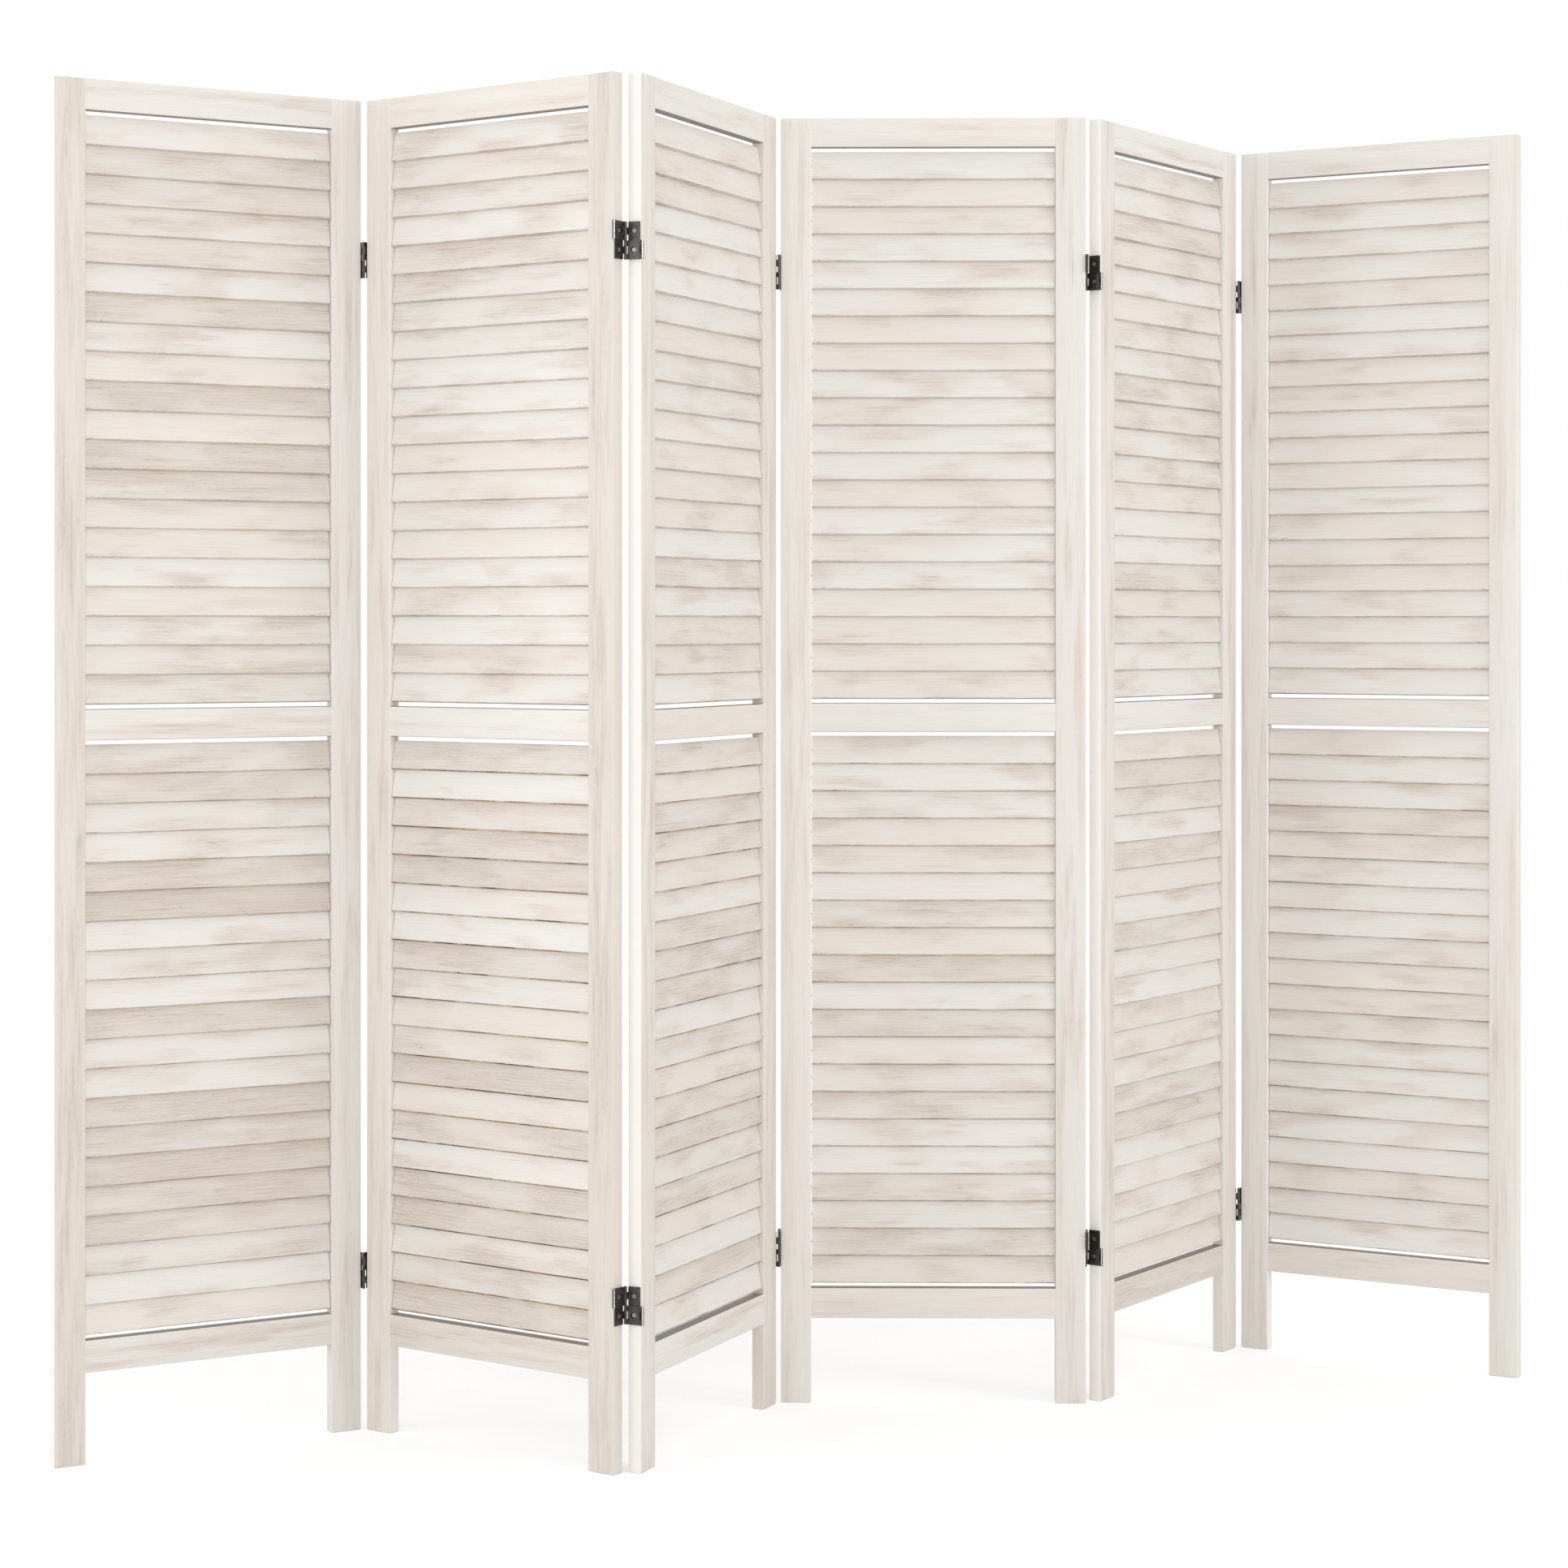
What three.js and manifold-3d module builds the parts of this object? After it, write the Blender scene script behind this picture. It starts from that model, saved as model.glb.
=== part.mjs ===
/*
 * A folding room divider of six louvred wooden panels, standing in a zigzag.
 *
 * Each panel is a glued frame: two stiles that run down into feet, and a top, middle and bottom
 * rail. Two banks of slats fill its windows. A slat turns on a pin at each end, in holes drilled
 * in the stiles, and closes on its neighbour like a shingle, with its lower edge in front.
 *
 * Neighbouring panels are joined by two double-acting screen hinges, which fold both ways. Such a
 * hinge has a leaf on each panel's edge and two links. The upper link runs from the left leaf's
 * front knuckle to the right leaf's back knuckle, and the lower link from the left leaf's back
 * knuckle to the right leaf's front knuckle. A fold that brings the fronts together turns about
 * the two front pins, and a fold that brings the backs together about the two back pins. At any
 * fold one pair of pins turns and the other pair is shut, so each panel carries its own leaf, one
 * of the links and that link's shut pin. All these halves have one shape, turned over.
 *
 * Millimetres, +Z up. The viewer stands on the -Y side. The origin is on the floor, under the
 * middle of the standing divider's box. A panel's own frame has its origin on the floor at its
 * left edge, half way through its thickness, with +X along its width and -Y to its front.
 */
import * as THREE from "three";
import { mergeVertices } from "three/addons/utils/BufferGeometryUtils.js";
import Module from "manifold-3d";

// Panels
const PANEL_YAWS_DEG = [29.9, -35.5, 66.1, -0.8, 56.1, -29.7];
const PANEL_WIDTH = 403;
const PANEL_HEIGHT = 1700;
const PANEL_THICKNESS = 17;
const STILE_WIDTH = 40;
const TOP_RAIL_HEIGHT = 38;
const MIDDLE_RAIL_HEIGHT = 38;
const BOTTOM_RAIL_HEIGHT = 40;
const FOOT_HEIGHT = 112;
const TENON_LENGTH = 25;
const RAIL_SETBACK = 0.4; // how far a rail's faces lie behind the stiles' faces
const EDGE_CHAMFER = 0.9; // on the long edges of the stiles

// Slats
const SLATS_IN_A_BANK = 20;
const SLAT_THICKNESS = 6;
const SLAT_LAP = 0.8; // how far neighbours would pass each other if they stood upright
const SLAT_TO_RAIL = 5.7; // an upright end slat's clearance from its rail
const SLAT_TO_STILE = 0.8;
const SLAT_REST_GAP = 0.3; // between a loose slat and the neighbour that it closes on
const SLAT_BOND_DEPTH = 0.25; // how deep the slats of a joined bank press into each other
const SLAT_PIN_DIAMETER = 3;
const SLAT_PIN_LENGTH = 8;
const SLAT_PIN_CLEARANCE = 0.3;
const TURNING_BANK_PANEL = 4; // the upper bank of this panel has loose slats

// Hinges
const HINGE_HEIGHT = 46;
const HINGE_INSET = 203.5; // from a panel's top, or from the floor, to a hinge's middle
const LEAF_THICKNESS = 1.2;
const LINK_THICKNESS = 1.2;
const SEAT_GAP = 0.3; // between a leaf and the wood
const PLATE_GAP = 0.4; // between a leaf and the link beside it
const PLATE_INSET = 0.5; // from the panel's faces to the edges of the plates
const AXIS_PROUD = 2.8; // how far a hinge pin's axis lies outside the panel's face
const HINGE_PIN_DIAMETER = 2.2;
const HINGE_PIN_CLEARANCE = 0.2;
const MIDDLE_KNUCKLE_HEIGHT = 9;
const KNUCKLE_GAP = 0.3;
const SCREW_WINDOW_DIAMETER = 8; // the hole in a link that clears the screw under it

// Facets
const KNUCKLE_SIDES = 6;
const PIN_SIDES = 6;
const WINDOW_SIDES = 8;
const WELD_DISTANCE = 1e-4;

// What follows from the sizes above
const WINDOW_WIDTH = PANEL_WIDTH - 2 * STILE_WIDTH;
const WINDOW_HEIGHT =
  (PANEL_HEIGHT - FOOT_HEIGHT - BOTTOM_RAIL_HEIGHT - MIDDLE_RAIL_HEIGHT - TOP_RAIL_HEIGHT) / 2;
const LOWER_WINDOW_BOTTOM = FOOT_HEIGHT + BOTTOM_RAIL_HEIGHT;
const UPPER_WINDOW_BOTTOM = LOWER_WINDOW_BOTTOM + WINDOW_HEIGHT + MIDDLE_RAIL_HEIGHT;
const SLAT_PITCH = (WINDOW_HEIGHT - 2 * SLAT_TO_RAIL - SLAT_LAP) / SLATS_IN_A_BANK;
const SLAT_WIDTH = SLAT_PITCH + SLAT_LAP;
const SLAT_LENGTH = WINDOW_WIDTH - 2 * SLAT_TO_STILE;
const SLAT_HOLE_DEPTH = SLAT_PIN_LENGTH - SLAT_TO_STILE + SLAT_PIN_CLEARANCE;
const PANEL_GAP = 2 * (SEAT_GAP + LEAF_THICKNESS + PLATE_GAP) + LINK_THICKNESS;
const KNUCKLE_RADIUS = PANEL_GAP / 2 - SEAT_GAP;
const AXIS_OFFSET = PANEL_THICKNESS / 2 + AXIS_PROUD; // from the middle of the panel

const wasm = await Module();
wasm.setup();

const X_AXIS = new THREE.Vector3(1, 0, 0);
const Y_AXIS = new THREE.Vector3(0, 1, 0);
const Z_AXIS = new THREE.Vector3(0, 0, 1);
const [FRONT, BACK] = [-1, 1]; // the sign of Y on each side of a panel

// ---- From three.js geometry to solids for joining and cutting, and back ----

function solidOf(geometry) {
  const bare = geometry.clone();
  bare.deleteAttribute("normal");
  bare.deleteAttribute("uv");
  const welded = mergeVertices(bare, WELD_DISTANCE);
  const mesh = new wasm.Mesh({
    numProp: 3,
    vertProperties: new Float32Array(welded.attributes.position.array),
    triVerts: new Uint32Array(welded.index.array),
  });
  return new wasm.Manifold(mesh);
}

function geometryOf(solid) {
  const mesh = solid.getMesh();
  const geometry = new THREE.BufferGeometry();
  geometry.setAttribute("position", new THREE.BufferAttribute(mesh.vertProperties, mesh.numProp));
  geometry.setIndex(new THREE.BufferAttribute(mesh.triVerts, 1));
  geometry.computeVertexNormals();
  return geometry;
}

function joined(solids) {
  return solids.reduce((whole, solid) => whole.add(solid));
}

function cut(solid, tools) {
  return tools.reduce((rest, tool) => rest.subtract(tool), solid);
}

// ---- Shapes ----

/** A rectangle about the origin with its four corners cut off at 45 degrees. */
function chamferedRectangle(width, height, chamfer) {
  const [x, y] = [width / 2, height / 2];
  return shapeOf([
    [-x + chamfer, -y],
    [x - chamfer, -y],
    [x, -y + chamfer],
    [x, y - chamfer],
    [x - chamfer, y],
    [-x + chamfer, y],
    [-x, y - chamfer],
    [-x, -y + chamfer],
  ]);
}

function shapeOf(points) {
  return new THREE.Shape(points.map(([x, y]) => new THREE.Vector2(x, y)));
}

/** A bar of this section from z = 0 up to its length. */
function uprightBar(section, length) {
  return new THREE.ExtrudeGeometry(section, { depth: length, bevelEnabled: false });
}

/** A bar along X with its middle at the origin. The section's x lies along Y and its y along Z. */
function levelBar(section, length) {
  const bar = uprightBar(section, length).translate(0, 0, -length / 2);
  return bar.applyMatrix4(new THREE.Matrix4().makeBasis(Y_AXIS, Z_AXIS, X_AXIS));
}

/** A circle with this many flats, whose corners lie on it. */
function roundSection(radius, sides) {
  const corner = (index) => {
    const angle = (2 * Math.PI * index) / sides;
    return [radius * Math.cos(angle), radius * Math.sin(angle)];
  };
  return shapeOf(Array.from({ length: sides }, (_, index) => corner(index)));
}

/** The radius at the corners of a hole whose flats clear a round pin by the whole clearance. */
function holeRadius(pinDiameter, clearance) {
  return (pinDiameter / 2 + clearance) / Math.cos(Math.PI / PIN_SIDES);
}

// ---- Materials ----

function paintedWood() {
  return new THREE.MeshStandardMaterial({ color: 0xe6e0d8, roughness: 0.72, metalness: 0 });
}

function darkBronze() {
  return new THREE.MeshStandardMaterial({ color: 0x3b3833, roughness: 0.42, metalness: 0.85 });
}

// ---- Slats ----

/** How far a slat leans from upright when it closes on neighbours that lie this far from its face. */
function closedLean(gap) {
  return Math.asin((SLAT_THICKNESS + gap) / SLAT_PITCH);
}

/** The heights of a bank's pins above the bottom of its window, from the top slat down. */
function slatHeights() {
  const top = WINDOW_HEIGHT - SLAT_TO_RAIL - SLAT_WIDTH / 2;
  return Array.from({ length: SLATS_IN_A_BANK }, (_, row) => top - row * SLAT_PITCH);
}

// An upright slat's corners, as [depth, height].
const [SLAT_FRONT, SLAT_BACK] = [-SLAT_THICKNESS / 2, SLAT_THICKNESS / 2];
const [SLAT_FOOT, SLAT_HEAD] = [-SLAT_WIDTH / 2, SLAT_WIDTH / 2];

/** The end view of a bank of closed slats that press into each other, down its front and up its back. */
function bankOutline() {
  const lean = closedLean(-SLAT_BOND_DEPTH);
  const frontSeam = [SLAT_BACK - SLAT_BOND_DEPTH, SLAT_FOOT];
  const backSeam = [SLAT_BACK, SLAT_HEAD - SLAT_PITCH * Math.cos(lean)];
  const heights = slatHeights();
  const last = heights.length - 1;
  const placed = ([y, z], row) => [
    y * Math.cos(lean) + z * Math.sin(lean),
    z * Math.cos(lean) - y * Math.sin(lean) + heights[row],
  ];
  const outline = [placed([SLAT_FRONT, SLAT_HEAD], 0)];
  for (let row = 0; row < last; row += 1) {
    outline.push(placed([SLAT_FRONT, SLAT_FOOT], row), placed(frontSeam, row));
  }
  outline.push(placed([SLAT_FRONT, SLAT_FOOT], last), placed([SLAT_BACK, SLAT_FOOT], last));
  for (let row = last; row > 0; row -= 1) {
    outline.push(placed([SLAT_BACK, SLAT_HEAD], row), placed(backSeam, row - 1));
  }
  outline.push(placed([SLAT_BACK, SLAT_HEAD], 0));
  return shapeOf(outline);
}

/** The two pins of a slat. They start inside the blade, so that each is one piece with it. */
function slatPins() {
  const section = roundSection(SLAT_PIN_DIAMETER / 2, PIN_SIDES);
  return [-1, 1].map((side) =>
    levelBar(section, 2 * SLAT_PIN_LENGTH).translate((side * SLAT_LENGTH) / 2, 0, 0),
  );
}

/** One slat that turns, upright about its own pins. */
function looseSlat() {
  const blade = new THREE.BoxGeometry(SLAT_LENGTH, SLAT_THICKNESS, SLAT_WIDTH);
  return joined([blade, ...slatPins()].map(solidOf));
}

/** A whole bank of closed slats as one piece, with the pins of its top and bottom slats. */
function joinedBank() {
  const heights = slatHeights();
  const pins = [heights[0], heights.at(-1)].flatMap((height) =>
    slatPins().map((pin) => pin.translate(0, 0, height)),
  );
  return joined([levelBar(bankOutline(), SLAT_LENGTH), ...pins].map(solidOf));
}

// ---- Frames ----

/** The holes in both stiles for the pins of the slats at these heights. */
function pinHoles(windowBottom, heights) {
  const section = roundSection(holeRadius(SLAT_PIN_DIAMETER, SLAT_PIN_CLEARANCE), PIN_SIDES);
  const faces = [STILE_WIDTH, PANEL_WIDTH - STILE_WIDTH];
  return faces.flatMap((face) =>
    heights.map((height) =>
      levelBar(section, 2 * SLAT_HOLE_DEPTH).translate(face, 0, windowBottom + height),
    ),
  );
}

function rail(bottom, height) {
  const length = WINDOW_WIDTH + 2 * TENON_LENGTH;
  const bar = new THREE.BoxGeometry(length, PANEL_THICKNESS - 2 * RAIL_SETBACK, height);
  return bar.translate(PANEL_WIDTH / 2, 0, bottom + height / 2);
}

/** A glued frame, drilled for its slats' pins. */
function panelFrame(upperBankTurns) {
  const stile = uprightBar(
    chamferedRectangle(STILE_WIDTH, PANEL_THICKNESS, EDGE_CHAMFER),
    PANEL_HEIGHT,
  );
  const members = [
    stile.clone().translate(STILE_WIDTH / 2, 0, 0),
    stile.clone().translate(PANEL_WIDTH - STILE_WIDTH / 2, 0, 0),
    rail(FOOT_HEIGHT, BOTTOM_RAIL_HEIGHT),
    rail(LOWER_WINDOW_BOTTOM + WINDOW_HEIGHT, MIDDLE_RAIL_HEIGHT),
    rail(PANEL_HEIGHT - TOP_RAIL_HEIGHT, TOP_RAIL_HEIGHT),
  ];
  const all = slatHeights();
  const ends = [all[0], all.at(-1)];
  const holes = [
    ...pinHoles(LOWER_WINDOW_BOTTOM, ends),
    ...pinHoles(UPPER_WINDOW_BOTTOM, upperBankTurns ? all : ends),
  ];
  return cut(joined(members.map(solidOf)), holes.map(solidOf));
}

// ---- Hinges ----

/** Raises a section in plan from one height to another. */
function raised(section, [low, high]) {
  return uprightBar(section, high - low).translate(0, 0, low);
}

/** An upright rod on the front or back axis of a hinge. */
function hingeRod(radius, side, heights) {
  return raised(roundSection(radius, PIN_SIDES), heights).translate(0, side * AXIS_OFFSET, 0);
}

/**
 * The heights of the three knuckles of a half-high barrel, as [low, high] pairs from the bottom.
 * The outer two belong to a link and the middle one to a leaf.
 */
function knuckleSpans(bottom, top) {
  const outer = (top - bottom - MIDDLE_KNUCKLE_HEIGHT) / 2 - KNUCKLE_GAP;
  return [
    [bottom, bottom + outer],
    [bottom + outer + KNUCKLE_GAP, top - outer - KNUCKLE_GAP],
    [top - outer, top],
  ];
}

/**
 * How far a plate reaches to each side. It stays inside the panel's faces, and clear of a knuckle
 * that turns past its edge.
 */
function plateReach(nearestX) {
  const swept = KNUCKLE_RADIUS + KNUCKLE_GAP;
  const toKnuckle = AXIS_OFFSET - Math.sqrt(swept ** 2 - nearestX ** 2);
  return Math.min(toKnuckle, PANEL_THICKNESS / 2 - PLATE_INSET);
}

/**
 * A plate in plan between two x, whose end is rolled into a knuckle about the front or back axis.
 * Its other end is cut off at this y.
 */
function rolledPlate([x0, x1], side, endY) {
  const from = Math.acos(x1 / KNUCKLE_RADIUS);
  const to = Math.acos(x0 / KNUCKLE_RADIUS) - 2 * Math.PI;
  const roll = Array.from({ length: KNUCKLE_SIDES + 1 }, (_, step) => {
    const angle = from + ((to - from) * step) / KNUCKLE_SIDES;
    const towardsPlate = KNUCKLE_RADIUS * Math.sin(angle);
    return [KNUCKLE_RADIUS * Math.cos(angle), side * (AXIS_OFFSET - towardsPlate)];
  });
  return shapeOf([...roll, [x0, endY], [x1, endY]]);
}

/** A flat plate between two x, from one y to another, over a [low, high] pair of heights. */
function flatPlate([x0, x1], [y0, y1], [z0, z1]) {
  const box = new THREE.BoxGeometry(x1 - x0, y1 - y0, z1 - z0);
  return box.translate((x0 + x1) / 2, (y0 + y1) / 2, (z0 + z1) / 2);
}

/** The leaf on a panel's right edge: its bored front knuckle, and the tab into the shut barrel. */
function leaf(frontSpan, backSpan) {
  const outside = -PANEL_GAP / 2 + SEAT_GAP;
  const faces = [outside, outside + LEAF_THICKNESS];
  const reach = plateReach(faces[1]);
  const pieces = [
    flatPlate(faces, [-reach, reach], [-HINGE_HEIGHT / 2, HINGE_HEIGHT / 2]),
    raised(rolledPlate(faces, FRONT, 0), frontSpan),
    flatPlate(faces, [0, AXIS_OFFSET], backSpan),
  ];
  const bore = holeRadius(HINGE_PIN_DIAMETER, HINGE_PIN_CLEARANCE);
  return cut(joined(pieces.map(solidOf)), [solidOf(hingeRod(bore, FRONT, frontSpan))]);
}

/** The link in the lower half of a hinge: its shut back barrel, its front knuckles and their pin. */
function link([low, high], [lowest, , highest]) {
  const faces = [-LINK_THICKNESS / 2, LINK_THICKNESS / 2];
  const pinHeights = [lowest[1] - KNUCKLE_GAP, highest[0] + KNUCKLE_GAP];
  const pieces = [
    raised(rolledPlate(faces, BACK, -plateReach(0)), [low, high]),
    raised(rolledPlate(faces, FRONT, 0), lowest),
    raised(rolledPlate(faces, FRONT, 0), highest),
    hingeRod(HINGE_PIN_DIAMETER / 2, FRONT, pinHeights),
  ];
  const screwWindow = levelBar(
    roundSection(SCREW_WINDOW_DIAMETER / 2, WINDOW_SIDES),
    LINK_THICKNESS + PLATE_GAP,
  );
  screwWindow.translate(0, 0, (low + high) / 2);
  return cut(joined(pieces.map(solidOf)), [solidOf(screwWindow)]);
}

/**
 * One half of a hinge whose front pins turn, as its left panel carries it: the leaf, and the
 * lower link. The link's back barrel is shut on the leaf's knuckle by their pin, and its front pin
 * carries the other half's leaf. The origin is at the hinge's middle, between the panels.
 */
function hingeHalf() {
  const half = HINGE_HEIGHT / 2;
  const parting = KNUCKLE_GAP / 2;
  const lowerSpans = knuckleSpans(-half, -parting);
  const upperSpans = knuckleSpans(parting, half);
  return link([-half, -parting], lowerSpans).add(leaf(upperSpans[1], lowerSpans[1]));
}

// ---- Assembly ----

function named(name, geometry, material) {
  const mesh = new THREE.Mesh(geometry, material);
  mesh.name = name;
  return mesh;
}

/** How a hinge half is turned over, by the panel edge it sits on and the pins that turn. */
function halfTurns(onRightEdge, frontPinsTurn) {
  const turns = new THREE.Matrix4();
  if (!onRightEdge) {
    turns.premultiply(new THREE.Matrix4().makeRotationY(Math.PI));
  }
  if (!frontPinsTurn) {
    turns.premultiply(new THREE.Matrix4().makeRotationX(Math.PI));
  }
  return turns;
}

function addHinges(panel, number, onRightEdge, frontPinsTurn, geometry) {
  const [first, side] = onRightEdge ? [number, "left"] : [number - 1, "right"];
  const x = onRightEdge ? PANEL_WIDTH + PANEL_GAP / 2 : -PANEL_GAP / 2;
  const heights = { top: PANEL_HEIGHT - HINGE_INSET, bottom: HINGE_INSET };
  for (const [place, height] of Object.entries(heights)) {
    const name = `hinge_${first}_${first + 1}_${place}_${side}_half`;
    const half = named(name, geometry, darkBronze());
    half.setRotationFromMatrix(halfTurns(onRightEdge, frontPinsTurn));
    half.position.set(x, 0, height);
    panel.add(half);
  }
}

function addJoinedBank(panel, name, windowBottom, geometry) {
  const bank = named(name, geometry, paintedWood());
  bank.position.set(PANEL_WIDTH / 2, 0, windowBottom);
  panel.add(bank);
}

function addTurningBank(panel, number, windowBottom, geometry) {
  slatHeights().forEach((height, row) => {
    const name = `panel_${number}_slat_${String(row + 1).padStart(2, "0")}`;
    const slat = named(name, geometry, paintedWood());
    slat.position.set(PANEL_WIDTH / 2, 0, windowBottom + height);
    slat.rotation.x = -closedLean(SLAT_REST_GAP);
    panel.add(slat);
  });
}

/** Where each panel stands: the hinge axes join each panel to the one before it. */
function standingPlan(yaws) {
  const along = (yaw, x, y) => new THREE.Vector3(x, y, 0).applyAxisAngle(Z_AXIS, yaw);
  const places = [{ yaw: yaws[0], corner: new THREE.Vector3() }];
  for (let index = 1; index < yaws.length; index += 1) {
    const before = places[index - 1];
    const side = frontPinsTurnAfter(index) ? -AXIS_OFFSET : AXIS_OFFSET;
    const axis = along(before.yaw, PANEL_WIDTH + PANEL_GAP / 2, side).add(before.corner);
    const corner = axis.sub(along(yaws[index], -PANEL_GAP / 2, side));
    places.push({ yaw: yaws[index], corner });
  }
  return places;
}

/** Between this panel and the next, a valley folds about the front pins and a ridge about the back. */
function frontPinsTurnAfter(number) {
  return PANEL_YAWS_DEG[number - 1] > PANEL_YAWS_DEG[number];
}

function buildDivider() {
  const divider = new THREE.Group();
  const bankGeometry = geometryOf(joinedBank());
  const slatGeometry = geometryOf(looseSlat());
  const halfGeometry = geometryOf(hingeHalf());
  const plan = standingPlan(PANEL_YAWS_DEG.map(THREE.MathUtils.degToRad));

  plan.forEach(({ yaw, corner }, index) => {
    const number = index + 1;
    const turning = number === TURNING_BANK_PANEL;
    const panel = new THREE.Group();
    panel.position.copy(corner);
    panel.rotation.z = yaw;
    divider.add(panel);

    panel.add(named(`panel_${number}_frame`, geometryOf(panelFrame(turning)), paintedWood()));
    addJoinedBank(panel, `panel_${number}_lower_slats`, LOWER_WINDOW_BOTTOM, bankGeometry);
    if (turning) {
      addTurningBank(panel, number, UPPER_WINDOW_BOTTOM, slatGeometry);
    } else {
      addJoinedBank(panel, `panel_${number}_upper_slats`, UPPER_WINDOW_BOTTOM, bankGeometry);
    }
    if (number > 1) {
      addHinges(panel, number, false, frontPinsTurnAfter(number - 1), halfGeometry);
    }
    if (number < plan.length) {
      addHinges(panel, number, true, frontPinsTurnAfter(number), halfGeometry);
    }
  });
  return divider;
}

/** Moves the divider so that the origin is on the floor, under the middle of its box. */
function stoodOnOrigin(divider) {
  divider.updateMatrixWorld(true);
  const box = new THREE.Box3().setFromObject(divider, true);
  const middle = box.getCenter(new THREE.Vector3());
  divider.position.set(-middle.x, -middle.y, -box.min.z);
  return divider;
}

const group = stoodOnOrigin(buildDivider());

export default group;
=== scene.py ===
"""The look of the folding slatted room divider.

Whitewashed boards, worn bronze hinges and a white studio.

Metres, +Z up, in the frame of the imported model. Each panel has a frame of its own, with its origin
on the floor at the panel's left edge, half way through its thickness, +X along its width and -Y to
its front. Each board has one too, with +X along its grain.
"""
import math
import random

import bmesh
import bpy
from mathutils import Matrix, Vector


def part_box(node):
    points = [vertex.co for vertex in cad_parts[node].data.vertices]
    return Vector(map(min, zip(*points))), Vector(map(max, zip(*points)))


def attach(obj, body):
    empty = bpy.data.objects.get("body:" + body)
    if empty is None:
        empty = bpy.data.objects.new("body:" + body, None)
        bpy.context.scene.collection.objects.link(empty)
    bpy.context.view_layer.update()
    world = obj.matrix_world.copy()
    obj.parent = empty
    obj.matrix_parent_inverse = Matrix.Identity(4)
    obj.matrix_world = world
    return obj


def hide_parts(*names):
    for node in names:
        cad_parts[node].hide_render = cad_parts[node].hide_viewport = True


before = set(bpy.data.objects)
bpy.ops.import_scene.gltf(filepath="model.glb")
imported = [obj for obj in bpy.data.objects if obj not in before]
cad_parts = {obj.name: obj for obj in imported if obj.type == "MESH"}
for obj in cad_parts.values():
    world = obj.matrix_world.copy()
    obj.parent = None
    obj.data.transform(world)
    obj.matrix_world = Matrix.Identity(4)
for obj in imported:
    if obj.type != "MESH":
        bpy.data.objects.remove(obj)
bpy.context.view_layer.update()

# Panels, as in the solids
PANEL_YAWS_DEG = (29.9, -35.5, 66.1, -0.8, 56.1, -29.7)
PANEL_WIDTH = 0.403
PANEL_HEIGHT = 1.7
PANEL_THICKNESS = 0.017
STILE_WIDTH = 0.04
TOP_RAIL_HEIGHT = 0.038
MIDDLE_RAIL_HEIGHT = 0.038
BOTTOM_RAIL_HEIGHT = 0.04
FOOT_HEIGHT = 0.112
RAIL_SETBACK = 0.0004

# Slats
SLATS_IN_A_BANK = 20
SLAT_THICKNESS = 0.006
SLAT_LAP = 0.0008
SLAT_TO_RAIL = 0.0057
SLAT_TO_STILE = 0.0008
SLAT_REST_GAP = 0.0003
SLAT_BOND_DEPTH = 0.00025
SLAT_PIN_DIAMETER = 0.003
SLAT_PIN_REACH = 0.004
TURNING_BANK_PANEL = 4

# Hinges
HINGE_HEIGHT = 0.046
HINGE_INSET = 0.2035
LEAF_THICKNESS = 0.0012
LINK_THICKNESS = 0.0012
SEAT_GAP = 0.0003
PLATE_GAP = 0.0004
PLATE_INSET = 0.0005
AXIS_PROUD = 0.0028
HINGE_PIN_DIAMETER = 0.0022
HINGE_BORE_DIAMETER = 0.0027
MIDDLE_KNUCKLE_HEIGHT = 0.009
KNUCKLE_GAP = 0.0003
SCREW_WINDOW_DIAMETER = 0.008
SCREW_HEAD_DIAMETER = 0.0068
SCREW_SLOT_WIDTH = 0.0011
SCREW_SLOT_LENGTH = 0.0046
SCREW_SLOT_DEPTH = 0.0009
KNUCKLE_TRIM = 0.00022  # holds the round barrels inside the box of the faceted ones
LEAF_CORNER_RADIUS = 0.0008
LINK_CORNER_RADIUS = 0.0005
PLATE_RUN_IN = 0.0009  # how far a rolled plate runs into the flat one
SCREW_PROUD = 0.00015

# What follows from the sizes above
WINDOW_WIDTH = PANEL_WIDTH - 2 * STILE_WIDTH
WINDOW_HEIGHT = (
    PANEL_HEIGHT - FOOT_HEIGHT - BOTTOM_RAIL_HEIGHT - MIDDLE_RAIL_HEIGHT - TOP_RAIL_HEIGHT
) / 2
LOWER_WINDOW_BOTTOM = FOOT_HEIGHT + BOTTOM_RAIL_HEIGHT
UPPER_WINDOW_BOTTOM = LOWER_WINDOW_BOTTOM + WINDOW_HEIGHT + MIDDLE_RAIL_HEIGHT
SLAT_PITCH = (WINDOW_HEIGHT - 2 * SLAT_TO_RAIL - SLAT_LAP) / SLATS_IN_A_BANK
SLAT_WIDTH = SLAT_PITCH + SLAT_LAP
SLAT_LENGTH = WINDOW_WIDTH - 2 * SLAT_TO_STILE
PANEL_GAP = 2 * (SEAT_GAP + LEAF_THICKNESS + PLATE_GAP) + LINK_THICKNESS
KNUCKLE_RADIUS = PANEL_GAP / 2 - SEAT_GAP - KNUCKLE_TRIM
AXIS_OFFSET = PANEL_THICKNESS / 2 + AXIS_PROUD
PANEL_COUNT = len(PANEL_YAWS_DEG)

# Finish of the wood's edges, and how far the real boards stray
FRAME_EDGE_RADIUS = 0.00125
SLAT_EDGE_RADIUS = 0.0007
SLAT_BOW = 0.0003
SLAT_TWIST_DEG = 0.8
LOOSE_SLAT_TWIST_DEG = 0.3
RAIL_LET_IN = 0.0005  # how far a rail runs into the stile beside it

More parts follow.
